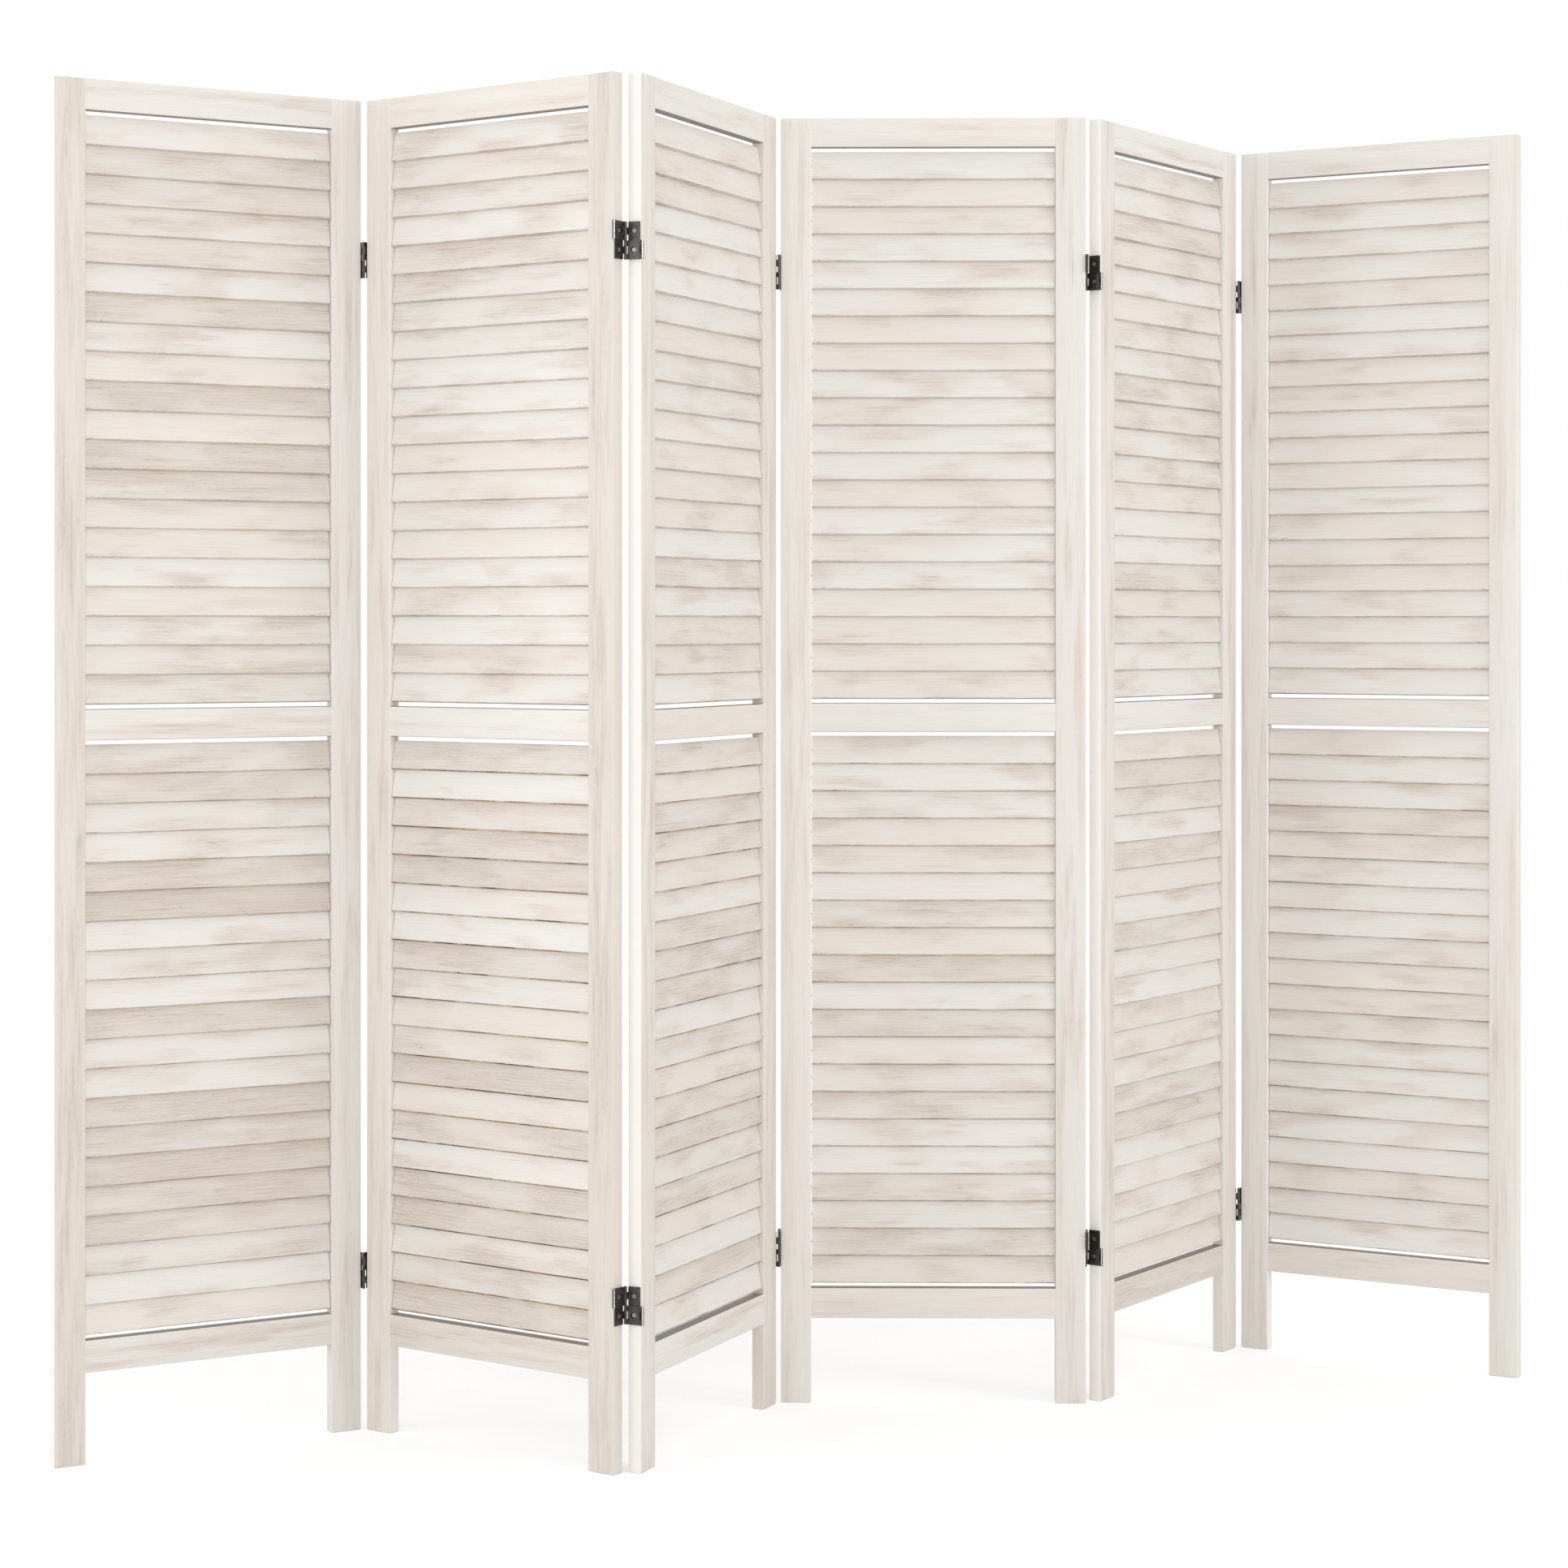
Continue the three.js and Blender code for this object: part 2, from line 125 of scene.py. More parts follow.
# Where the paint is thick or gone, and where a rail's faces towards the slats are darkened as
# unpainted wood and painted shade, as board_seed says. Rows by panel go from 1 to 6
EDGE_PAINT_AND_SHADE = {"left_stile": 0.95, "right_stile": 0.0, "bottom_rail": -0.8, "middle_rail": -1.7,
              "top_rail": -0.8}
# painted shade: how dark the line under each slat's lower edge is, more in the lower banks, which
# sit further below the light
UPPER_BANK_RUB_AND_SHADE_LINES = (0.45, 0.6, 0.6, 0.4, 0.6, 0.55)
LOWER_BANK_RUB_AND_SHADE_LINES = (0.65, 1.2, 1.0, 0.75, 0.6, 0.8)

# How thin the paint is, from 0 to 1 and more where chance takes a share of it. Each stile's value
# also evens out the lamps' uneven light on it as painted shade, and the lower banks carry more than
# the upper ones, partly as painted shade towards the floor
RAIL_WEAR = {"bottom_rail": 1.8, "middle_rail": 0.2, "top_rail": 0.5}
LEFT_STILE_WEAR_AND_SHADE = (1.0, 0.2, 0.5, 0.0, 0.6, 0.0)
RIGHT_STILE_WEAR_AND_SHADE = (0.2, 1.2, 0.5, 0.5, 0.2, 0.0)
UPPER_BANK_WEAR_AND_SHADE = (1.6, 0.8, 0.9, 0.2, 0.9, 0.0)
LOWER_BANK_WEAR_AND_SHADE = (2.4, 1.8, 1.5, 1.2, 1.1, 0.7)

# The camera that took the photograph, in its frame of 1932 by 1932 pixels
PHOTO_SIZE = 1932
FOCAL_LENGTH_PX = 4132.1
HORIZON_PX = 768.0
SENSOR_WIDTH_MM = 36
CAMERA_PLACE = Vector((-0.0554, -4.4269, 1.0317))

FRONT, BACK = -1, 1


# ---- Meshes ----

def rounded_section(depth, height, radius, steps=3):
    """A rectangle about the origin with round corners, as (y, z) points in order."""
    points = []
    for corner, (side_y, side_z) in enumerate(((1, 1), (-1, 1), (-1, -1), (1, -1))):
        centre_y = side_y * (depth / 2 - radius)
        centre_z = side_z * (height / 2 - radius)
        for step in range(steps + 1):
            angle = math.radians(90 * (corner + step / steps))
            y = centre_y + radius * math.cos(angle)
            points.append((y, centre_z + radius * math.sin(angle)))
    return points


def add_sides(faces, before, after):
    """Joins two rings of vertices with a band of faces."""
    for index, vertex in enumerate(before):
        following = (index + 1) % len(before)
        faces.new((vertex, before[following], after[following], after[index]))


def add_ends(faces, first, last):
    """Closes a row of rings."""
    faces.new(tuple(reversed(first)))
    faces.new(last)


class Boards:
    """A mesh made of boards, each with its own grain frame, span and seed for the wood material."""

    def __init__(self):
        self.mesh = bmesh.new()
        vectors = self.mesh.verts.layers.float_vector
        self.at = vectors.new("board_at")
        self.span = vectors.new("board_span")
        self.seed = vectors.new("board_seed")

    def add(self, place, size, radius, seed, stations=2, end_radius=0.0, bend=None):
        """A board of this (length, depth, height) with rounded long edges and, if asked, ends."""
        length, depth, height = size
        rings = []
        for x, inset in self._stations(length, stations, end_radius):
            section = rounded_section(depth - 2 * inset, height - 2 * inset, radius)
            ring = []
            for y, z in section:
                local = Vector((x, y, z))
                vertex = self.mesh.verts.new(place @ (bend(local) if bend else local))
                vertex[self.at] = local
                vertex[self.span] = Vector((2 * x / length, 2 * y / depth, 2 * z / height))
                vertex[self.seed] = seed
                ring.append(vertex)
            rings.append(ring)
        for before, after in zip(rings, rings[1:]):
            add_sides(self.mesh.faces, before, after)
        add_ends(self.mesh.faces, rings[0], rings[-1])

    @staticmethod
    def _stations(length, count, end_radius, steps=3):
        """(x, inset) from one end to the other. A rounded end draws its section in."""
        half = length / 2
        turns = [math.radians(90 / steps * step) for step in range(1, steps + 1)]
        ends = [(half - end_radius * (1 - math.sin(turn)), end_radius * (1 - math.cos(turn)))
                for turn in (turns if end_radius else ())]
        inner = half - end_radius
        middle = [(-inner + 2 * inner * step / (count - 1), 0.0) for step in range(count)]
        return [(-x, inset) for x, inset in reversed(ends)] + middle + ends

    def finish(self, name):
        return finished(self.mesh, name)


def finished(mesh, name, smooth_angle_deg=40):
    """An object from a bmesh, smooth except across its sharp edges."""
    bmesh.ops.recalc_face_normals(mesh, faces=mesh.faces)
    for face in mesh.faces:
        face.smooth = True
    sharp = math.radians(smooth_angle_deg)
    for edge in mesh.edges:
        edge.smooth = len(edge.link_faces) != 2 or edge.calc_face_angle() < sharp
    data = bpy.data.meshes.new(name)
    mesh.to_mesh(data)
    mesh.free()
    piece = bpy.data.objects.new(name, data)
    bpy.context.scene.collection.objects.link(piece)
    return piece


def put(piece, place):
    """Places a piece by its mesh, so that its box is the box of what shows."""
    piece.data.transform(place)


def extruded(mesh, outline, low, high, holes=()):
    """Adds an upright prism over an outline in plan, with upright holes through it."""
    loops = [outline, *holes]
    rims = []
    for z in (low, high):
        edges = []
        for loop in loops:
            ring = [mesh.verts.new((x, y, z)) for x, y in loop]
            edges.append([mesh.edges.new((a, b)) for a, b in zip(ring, ring[1:] + ring[:1])])
        bmesh.ops.triangle_fill(mesh, use_beauty=True, edges=[e for loop in edges for e in loop])
        rims.append([[edge.verts[0] for edge in loop] for loop in edges])
    for bottom, top in zip(*rims):
        add_sides(mesh.faces, bottom, top)


def circle(radius, sides, centre=(0.0, 0.0)):
    angles = [2 * math.pi * index / sides for index in range(sides)]
    return [(centre[0] + radius * math.cos(a), centre[1] + radius * math.sin(a)) for a in angles]


# ---- Materials ----

class Nodes:
    """Short calls for building a node tree."""

    def __init__(self, tree):
        self.tree = tree

    def node(self, kind, inputs=None, **settings):
        made = self.tree.nodes.new(kind)
        for key, value in settings.items():
            setattr(made, key, value)
        for key, value in (inputs or {}).items():
            self.set(made.inputs[key], value)
        return made

    def set(self, socket, value):
        if isinstance(value, bpy.types.NodeSocket):
            self.tree.links.new(value, socket)
        else:
            socket.default_value = value

    def attribute(self, name):
        return self.node("ShaderNodeAttribute", attribute_name=name).outputs["Vector"]

    def scaled(self, vector, scale, offset=None):
        """vector * scale + offset"""
        operation = "MULTIPLY_ADD" if offset is not None else "MULTIPLY"
        inputs = {0: vector, 1: scale}
        if offset is not None:
            inputs[2] = offset
        return self.node("ShaderNodeVectorMath", inputs, operation=operation).outputs[0]

    def maths(self, operation, a, b=0.0, c=0.0, clamp=False):
        inputs = {0: a, 1: b, 2: c}
        return self.node("ShaderNodeMath", inputs, operation=operation, use_clamp=clamp).outputs[0]

    def noise(self, vector, detail, roughness, distortion=0.0):
        inputs = {"Vector": vector, "Scale": 1.0, "Detail": detail, "Roughness": roughness,
                  "Distortion": distortion}
        return self.node("ShaderNodeTexNoise", inputs).outputs["Fac"]

    def ramp(self, value, low, high, to_low=0.0, to_high=1.0):
        """A smooth step from to_low at low to to_high at high."""
        inputs = {"Value": value, "From Min": low, "From Max": high, "To Min": to_low,
                  "To Max": to_high}
        made = self.node("ShaderNodeMapRange", inputs, interpolation_type="SMOOTHSTEP")
        return made.outputs["Result"]

    def mix(self, factor, a, b):
        made = self.node("ShaderNodeMix", data_type="RGBA")
        self.set(made.inputs["Factor"], factor)
        self.set(made.inputs["A"], a)
        self.set(made.inputs["B"], b)
        return made.outputs["Result"]

    def parts(self, vector):
        return self.node("ShaderNodeSeparateXYZ", {0: vector}).outputs

    def background_rays(self):
        """1 for the rays that show the background as it is: camera, glossy and transmission."""
        path = self.node("ShaderNodeLightPath").outputs
        seen = self.maths("ADD", path["Is Camera Ray"], path["Is Glossy Ray"])
        return self.maths("ADD", seen, path["Is Transmission Ray"], clamp=True)


class Surface(Nodes):
    """The nodes of a new material."""

    def __init__(self, name):
        self.material = bpy.data.materials.new(name)
        self.material.use_nodes = True
        super().__init__(self.material.node_tree)
        self.bsdf = self.tree.nodes["Principled BSDF"]

    def dress(self, colour, roughness, height, strength, distance):
        """Links the colour, the roughness and a bump of this height."""
        inputs = {"Strength": strength, "Distance": distance, "Height": height}
        bump = self.node("ShaderNodeBump", inputs)
        self.set(self.bsdf.inputs["Base Color"], colour)
        self.set(self.bsdf.inputs["Roughness"], roughness)
        self.set(self.bsdf.inputs["Normal"], bump.outputs["Normal"])


class Wood(Surface):
    """Noise drawn out along each board's own grain, from the frame and seed that it carries."""

    def __init__(self, name):
        super().__init__(name)
        self.at = self.attribute("board_at")
        self.span_x, self.span_y, self.span_z = self.parts(self.attribute("board_span"))
        seed = self.attribute("board_seed")
        self.tone, self.warmth, self.edges = self.parts(seed)
        self.offset = self.scaled(seed, SEED_SPREAD)

    def marks(self, in_a_metre, detail=3.0, roughness=0.5, distortion=0.0):
        """Noise with so many marks in a metre, along the grain and across it."""
        along, across = in_a_metre
        place = self.scaled(self.at, (along, across, across), self.offset)
        return self.noise(place, detail, roughness, distortion)


def srgb(red, green, blue):
    """A colour as it reads in a picture, 0 to 255, in Blender's linear light."""
    def linear(value):
        value /= 255
        return value / 12.92 if value <= 0.04045 else ((value + 0.055) / 1.055) ** 2.4
    return (linear(red), linear(green), linear(blue), 1.0)


COOL_WHITE = srgb(229, 226, 221)
WARM_WHITE = srgb(228, 221, 213)
BLUSH = srgb(226, 216, 209)
TAUPE = srgb(207, 196, 185)
GRAIN_BROWN = srgb(173, 158, 143)
# also the colour of the rails' dark faces towards the slats: unpainted wood and painted shade
SPECKLE_AND_SHADE_BROWN = srgb(104, 92, 80)
# the dark line under each slat: rubbed wood and painted shade
LINE_AND_SHADE_BROWN = srgb(84, 70, 56)
BARE_WOOD = srgb(150, 124, 86)
THICK_PAINT = srgb(245, 241, 236)

# How many marks of each kind are in a metre, along the grain and across it
FRAME_PATCHES = (4.0, 62.0)
SLAT_PATCHES = (6.5, 34.0)
STREAKS = (20.0, 520.0)
BRUSH_MARKS = (9.0, 130.0)
GRAIN_LINES = (14.0, 1300.0)
SMUDGES = (30.0, 150.0)
PORES = (90.0, 950.0)
DRY_BRUSH = (160.0, 700.0)
# where the painted shade line under each slat is darker
RUB_AND_SHADE_PLACES = (22.0, 22.0)
WORST_PLACES = (9.0, 9.0)
BLUSH_CLOSER = 1.3  # how much closer than the white's patches these lie along the grain
CLOUDS_CLOSER = 1.4
SEED_SPREAD = (37.0, 53.0, 71.0)  # carries each board into a noise of its own


def closer(patches, times):
    along, across = patches
    return along * times, across


def own_white(s, patches):
    """The board's own white, cool or warm, with blush patches."""
    hue = s.marks(patches, detail=2.0, distortion=0.1)
    hue = s.maths("ADD", hue, s.maths("MULTIPLY_ADD", s.warmth, 0.50, -0.25))
    colour = s.mix(s.ramp(hue, 0.36, 0.64), COOL_WHITE, WARM_WHITE)
    blush = s.marks(closer(patches, BLUSH_CLOSER), detail=2.0, distortion=0.1)
    colour = s.mix(s.ramp(blush, 0.48, 0.70, 0.0, 0.7), colour, BLUSH)
    return s.mix(s.maths("MULTIPLY", s.tone, 0.30), colour, TAUPE)


def thin_paint(s, patches):
    """Clouds where the paint is thin, from 0 to 1."""
    brushed = s.marks(BRUSH_MARKS, detail=2.0, roughness=0.6, distortion=0.1)
    cloud = s.marks(closer(patches, CLOUDS_CLOSER), distortion=0.15)
    cloud = s.maths("ADD", cloud, s.maths("MULTIPLY_ADD", s.tone, 0.16, -0.04))
    cloud = s.maths("ADD", cloud, s.maths("MULTIPLY_ADD", brushed, 0.30, -0.15))
    return s.ramp(cloud, 0.46, 0.82)


def with_wood_showing(s, colour, thin, grain):
    """Grain lines, brown smudges and pores, most of them under the thin paint."""
    shows = s.maths("MULTIPLY_ADD", thin, 0.50, 0.16)
    lines = s.maths("MULTIPLY", s.ramp(grain, 0.54, 0.70), shows)
    colour = s.mix(lines, colour, GRAIN_BROWN)
    smudge = s.marks(SMUDGES, detail=4.0, roughness=0.65, distortion=0.3)
    smudge = s.maths("MULTIPLY", s.ramp(smudge, 0.58, 0.80), thin)
    colour = s.mix(s.maths("MULTIPLY", smudge, 0.60), colour, GRAIN_BROWN)
    pore = s.ramp(s.marks(PORES, detail=2.0, roughness=0.6), 0.62, 0.74)
    pore = s.maths("MULTIPLY", pore, s.maths("MULTIPLY_ADD", thin, 0.25, 0.05))
    return s.mix(pore, colour, SPECKLE_AND_SHADE_BROWN)


def with_slat_edges(s, colour):
    """A slat's lower edge: speckled by a dry brush at its ends, its corners rubbed to the wood and
    darkened as a painted shade line between the slats.
    """
    worst = s.marks(WORST_PLACES, detail=2.0)
    at_end = s.ramp(s.maths("ABSOLUTE", s.span_x), 0.60, 1.0, 0.0, 0.16)
    reach = s.maths("ADD", at_end, s.ramp(worst, 0.50, 0.75, 0.0, 0.14))
    cover = s.ramp(s.maths("SUBTRACT", reach, s.span_z), 0.90, 1.14)
    dry = s.ramp(s.marks(DRY_BRUSH, roughness=0.75), 0.52, 0.68, 0.15, 1.0)
    speckle = s.maths("MULTIPLY", dry, s.maths("MULTIPLY", cover, 0.52))
    colour = s.mix(speckle, colour, SPECKLE_AND_SHADE_BROWN)

    # painted shade: the lower corners darken into a thin line, standing in for the shade where one
    # slat laps the next, as well as rubbed wood
    from_edge = s.maths("MULTIPLY_ADD", s.edges, -0.05, s.span_z)
    corner = s.maths("MULTIPLY", s.ramp(from_edge, -1.0, -0.965, 1.0, 0.0),
                     s.ramp(s.maths("ABSOLUTE", s.span_y), 0.60, 0.75))
    rub_and_shade = s.marks(RUB_AND_SHADE_PLACES, detail=4.0, roughness=0.65)
    rub_and_shade = s.maths("MULTIPLY", s.ramp(rub_and_shade, 0.36, 0.62, 0.35, 1.0), corner)
    rub_and_shade = s.maths("MULTIPLY", rub_and_shade, s.edges)
    return s.mix(rub_and_shade, colour, s.mix(s.ramp(worst, 0.46, 0.60), BARE_WOOD, LINE_AND_SHADE_BROWN))


def with_frame_edges(s, colour):
    """A frame board's narrow faces: thick white paint, or dark where a rail faces the slats, as
    unpainted wood and painted shade in the slot.
    """
    narrow = s.ramp(s.maths("ABSOLUTE", s.span_z), 0.955, 0.99)
    painted = s.maths("MULTIPLY", narrow, s.maths("MAXIMUM", s.edges, 0.0))
    colour = s.mix(painted, colour, THICK_PAINT)
    below = s.ramp(s.span_z, -0.99, -0.97, 1.0, 0.0)
    above = s.maths("MULTIPLY", s.ramp(s.span_z, 0.97, 0.99),
                    s.ramp(s.edges, -1.5, -1.2, 1.0, 0.0))
    # painted shade: the rails' faces towards the slats are darkened where the slot lies in shade, as
    # well as left unpainted
    bare_and_shade = s.maths("MULTIPLY", s.edges, -0.9, clamp=True)
    bare_and_shade = s.maths("MULTIPLY", s.maths("ADD", below, above), bare_and_shade)
    return s.mix(bare_and_shade, colour, SPECKLE_AND_SHADE_BROWN)


def whitewashed_wood(name, is_slat):
    """White paint brushed thinly along pale wood, so that the wood shows through in patches."""
    s = Wood(name)
    patches = SLAT_PATCHES if is_slat else FRAME_PATCHES
    colour = own_white(s, patches)
    thin = thin_paint(s, patches)
    if not is_slat:  # the paint is thicker towards a frame board's edges
        thick = s.ramp(s.maths("ABSOLUTE", s.span_z), 0.45, 1.0, 0.0, 0.85)
        thin = s.maths("MULTIPLY", thin, s.maths("SUBTRACT", 1.0, thick))
    streak = s.marks(STREAKS, roughness=0.6, distortion=0.1)
    streaked = s.maths("MULTIPLY", thin, s.ramp(streak, 0.34, 0.66, 0.30, 0.95))
    colour = s.mix(streaked, colour, TAUPE)
    grain = s.marks(GRAIN_LINES, detail=2.0, roughness=0.6)
    colour = with_wood_showing(s, colour, thin, grain)
    colour = with_slat_edges(s, colour) if is_slat else with_frame_edges(s, colour)

    roughness = s.maths("MULTIPLY_ADD", thin, 0.14, 0.56)
    height = s.maths("MULTIPLY_ADD", grain, 0.5, s.maths("MULTIPLY", streak, 0.5))
    s.dress(colour, roughness, height, strength=0.3, distance=0.0004)
    s.bsdf.inputs["Specular IOR Level"].default_value = 0.3
    return s.material


DARK_BRONZE = srgb(74, 71, 68)
RUBBED_BRONZE = srgb(146, 140, 134)
# the colour of the painted highlight on the barrels and the screws
PAINTED_HIGHLIGHT_BRONZE = srgb(214, 210, 205)
MOTTLES_IN_A_METRE = (420.0, 420.0, 420.0)
RUB_MARKS_IN_A_METRE = (900.0, 900.0, 160.0)


def dark_bronze():
    """Blackened hinge metal, rubbed grey in places, with a painted highlight along the barrels'
    fronts and on the screws' crosses.
    """
    s = Surface("dark_bronze")
    place = s.node("ShaderNodeTexCoord").outputs["Object"]
    mottle = s.noise(s.scaled(place, MOTTLES_IN_A_METRE), detail=5.0, roughness=0.65)
    rubbed = s.noise(s.scaled(place, RUB_MARKS_IN_A_METRE), detail=4.0, roughness=0.7)
    wear = s.maths("MULTIPLY", s.ramp(mottle, 0.48, 0.72), s.ramp(rubbed, 0.42, 0.70), clamp=True)
    colour = s.mix(wear, DARK_BRONZE, RUBBED_BRONZE)
    # painted highlight: the barrels' fronts and the screws' crosses take a near-white colour,
    # standing in for the lamps' reflection
    highlight_share = s.maths("MULTIPLY_ADD", mottle, 0.2, s.parts(s.attribute("painted_highlight"))[0])
    colour = s.mix(s.ramp(highlight_share, 0.98, 1.09), colour, PAINTED_HIGHLIGHT_BRONZE)
    roughness = s.ramp(mottle, 0.2, 0.8, 0.30, 0.48)
    s.dress(colour, roughness, height=mottle, strength=0.2, distance=0.0002)
    s.bsdf.inputs["Metallic"].default_value = 0.85
    return s.material


# ---- Panels ----

def panel_place(number):
    """The panel's own frame. The panel is the same about its middle, which is its box's middle."""
    low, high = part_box(f"panel_{number}_frame")
    middle = (low + high) / 2
    yaw = math.radians(PANEL_YAWS_DEG[number - 1])
    turned = Matrix.Translation((middle.x, middle.y, 0)) @ Matrix.Rotation(yaw, 4, "Z")
    return turned @ Matrix.Translation((-PANEL_WIDTH / 2, 0, 0))


def front_pins_turn_after(number):
    return PANEL_YAWS_DEG[number - 1] > PANEL_YAWS_DEG[number]


def slat_heights():
    top = WINDOW_HEIGHT - SLAT_TO_RAIL - SLAT_WIDTH / 2
    return [top - row * SLAT_PITCH for row in range(SLATS_IN_A_BANK)]


def closed_lean(gap):
    return math.asin((SLAT_THICKNESS + gap) / SLAT_PITCH)


def board_seed(chance, wear=1.0, edges=0.5):
    """(tone, warmth, edges) of a board. Few boards are dark, most are pale.

    Edges is how white the paint is on a frame board's narrow faces, or how far a slat's lower
    corners are rubbed and darkened as a painted shade line. Below 0 it is how dark a board's lower
    face is, as unpainted wood and painted shade, and below -1.5 the upper one too.
    """
    spread = chance.uniform(-0.02, 0.02)
    return Vector((chance.random() ** 1.5 * wear, chance.random(), edges + spread))


def frame_members():
    """(name, place, size) of each board of a panel's frame, in the panel's own frame."""
    upright = Matrix.Rotation(math.radians(-90), 4, "Y")
    for side, x in (("left", STILE_WIDTH / 2), ("right", PANEL_WIDTH - STILE_WIDTH / 2)):
        place = Matrix.Translation((x, 0, PANEL_HEIGHT / 2)) @ upright
        yield f"{side}_stile", place, (PANEL_HEIGHT, PANEL_THICKNESS, STILE_WIDTH)
    thickness = PANEL_THICKNESS - 2 * RAIL_SETBACK
    length = WINDOW_WIDTH + 2 * RAIL_LET_IN
    rails = (
        ("bottom_rail", FOOT_HEIGHT, BOTTOM_RAIL_HEIGHT),
        ("middle_rail", LOWER_WINDOW_BOTTOM + WINDOW_HEIGHT, MIDDLE_RAIL_HEIGHT),
        ("top_rail", PANEL_HEIGHT - TOP_RAIL_HEIGHT, TOP_RAIL_HEIGHT),
    )
    for name, bottom, height in rails:
        place = Matrix.Translation((PANEL_WIDTH / 2, 0, bottom + height / 2))
        if name == "bottom_rail":  # its dark face, unpainted wood and painted shade, is the upper one
            place = place @ Matrix.Rotation(math.pi, 4, "X")
        yield name, place, (length, thickness, height)


def dress(piece, body, node, material):
    """Gives a piece its material and its body, and hides the node that it stands for."""
    piece.data.materials.append(material)
    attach(piece, body)
    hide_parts(node)


def add_frame(number, material, chance):
    place = panel_place(number)
    stile_wear_and_shade = {"left_stile": LEFT_STILE_WEAR_AND_SHADE[number - 1],
                  "right_stile": RIGHT_STILE_WEAR_AND_SHADE[number - 1]}
    for name, local, size in frame_members():
        is_stile = name in stile_wear_and_shade
        seed = board_seed(chance, RAIL_WEAR.get(name, 0.0), EDGE_PAINT_AND_SHADE[name])
        if is_stile:
            # painted shade: each stile's darkness is set to even out the lamps' light on it, as well
            # as its wear
            seed.x = stile_wear_and_shade[name]
        board = Boards()
        end_radius = FRAME_EDGE_RADIUS if is_stile else 0.0
        board.add(Matrix.Identity(4), size, FRAME_EDGE_RADIUS, seed, end_radius=end_radius)
        piece = board.finish(f"panel_{number}_{name}")
        put(piece, place @ local)
        dress(piece, f"panel_{number}", f"panel_{number}_frame", material)


def slat_bend(chance, twist_deg):
    """A slat's slight bow and twist, as a function of a point of the straight slat."""
    bow = chance.uniform(-1, 1) * SLAT_BOW
    twist = math.radians(chance.uniform(-1, 1) * twist_deg)

    def bent(point):
        along = 2 * point.x / SLAT_LENGTH
        turned = Matrix.Rotation(twist * along, 3, "X") @ point
        return turned + Vector((0, bow * (1 - along * along) - bow / 2, 0))
    return bent


SLAT_STATIONS = 9  # along a slat, so that it bends
PIN_SECTION_RADIUS = 0.49 * SLAT_PIN_DIAMETER  # rounds the pin's section almost to a circle


def add_slat(boards, place, wear, rubbing_and_shade, twist_deg, chance):
    """A slat about its pins, with the ends of its pins that show."""
    size = (SLAT_LENGTH, SLAT_THICKNESS, SLAT_WIDTH)
    bend = slat_bend(chance, twist_deg)
    seed = board_seed(chance, wear, rubbing_and_shade)
    boards.add(place, size, SLAT_EDGE_RADIUS, seed, stations=SLAT_STATIONS, bend=bend)
    pin = (2 * SLAT_PIN_REACH, SLAT_PIN_DIAMETER, SLAT_PIN_DIAMETER)
    for side in (-1, 1):
        at_end = place @ Matrix.Translation((side * SLAT_LENGTH / 2, 0, 0))
        boards.add(at_end, pin, PIN_SECTION_RADIUS, board_seed(chance))


def add_joined_bank(number, which, bottom, wear, rubbing_and_shade, material, chance):
    lean = Matrix.Rotation(-closed_lean(-SLAT_BOND_DEPTH), 4, "X")
    boards = Boards()
    for height in slat_heights():
        place = Matrix.Translation((0, 0, height)) @ lean
        add_slat(boards, place, wear, rubbing_and_shade, SLAT_TWIST_DEG, chance)
    node = f"panel_{number}_{which}_slats"
    piece = boards.finish(f"{node}_looks")
    put(piece, panel_place(number) @ Matrix.Translation((PANEL_WIDTH / 2, 0, bottom)))
    dress(piece, f"panel_{number}", node, material)


def add_turning_bank(number, bottom, wear, rubbing_and_shade, material, chance):
    lean = Matrix.Rotation(-closed_lean(SLAT_REST_GAP), 4, "X")
    for row, height in enumerate(slat_heights(), start=1):
        boards = Boards()
        add_slat(boards, Matrix.Identity(4), wear, rubbing_and_shade, LOOSE_SLAT_TWIST_DEG, chance)
        node = f"panel_{number}_slat_{row:02d}"
        piece = boards.finish(f"{node}_looks")
        pivot = Matrix.Translation((PANEL_WIDTH / 2, 0, bottom + height))
        put(piece, panel_place(number) @ pivot @ lean)
        dress(piece, f"slat_{row:02d}", node, material)


# ---- Hinges ----

KNUCKLE_SIDES = 20
PIN_SIDES = 16
WINDOW_SIDES = 24
PIN_DOME = 0.35  # the dome's height, over the pin's radius
PIN_END = 0.55  # the flat end's radius, over the pin's
PAINTED_HIGHLIGHT_ANGLE = math.radians(50)  # of the painted highlight's line on a barrel, from the panel's face to its edge
RECESS_NARROWING = 0.7  # of a screw's recess, at its floor
SKIRT_NARROWING = 0.82  # of a screw's head, below the leaf's face
SKIRT_DEPTH = LEAF_THICKNESS * 0.8
UPPER_SCREW_TURN, LOWER_SCREW_TURN = 1.1, 0.5


def knuckle_spans(bottom, top):
    """The (low, high) heights of the three knuckles of a half-high barrel, from the bottom."""
    outer = (top - bottom - MIDDLE_KNUCKLE_HEIGHT) / 2 - KNUCKLE_GAP
    return (
        (bottom, bottom + outer),
        (bottom + outer + KNUCKLE_GAP, top - outer - KNUCKLE_GAP),
        (top - outer, top),
    )


def plate_reach(nearest_x):
    swept = KNUCKLE_RADIUS + KNUCKLE_GAP
    to_knuckle = AXIS_OFFSET - math.sqrt(swept ** 2 - nearest_x ** 2)
    return min(to_knuckle, PANEL_THICKNESS / 2 - PLATE_INSET)


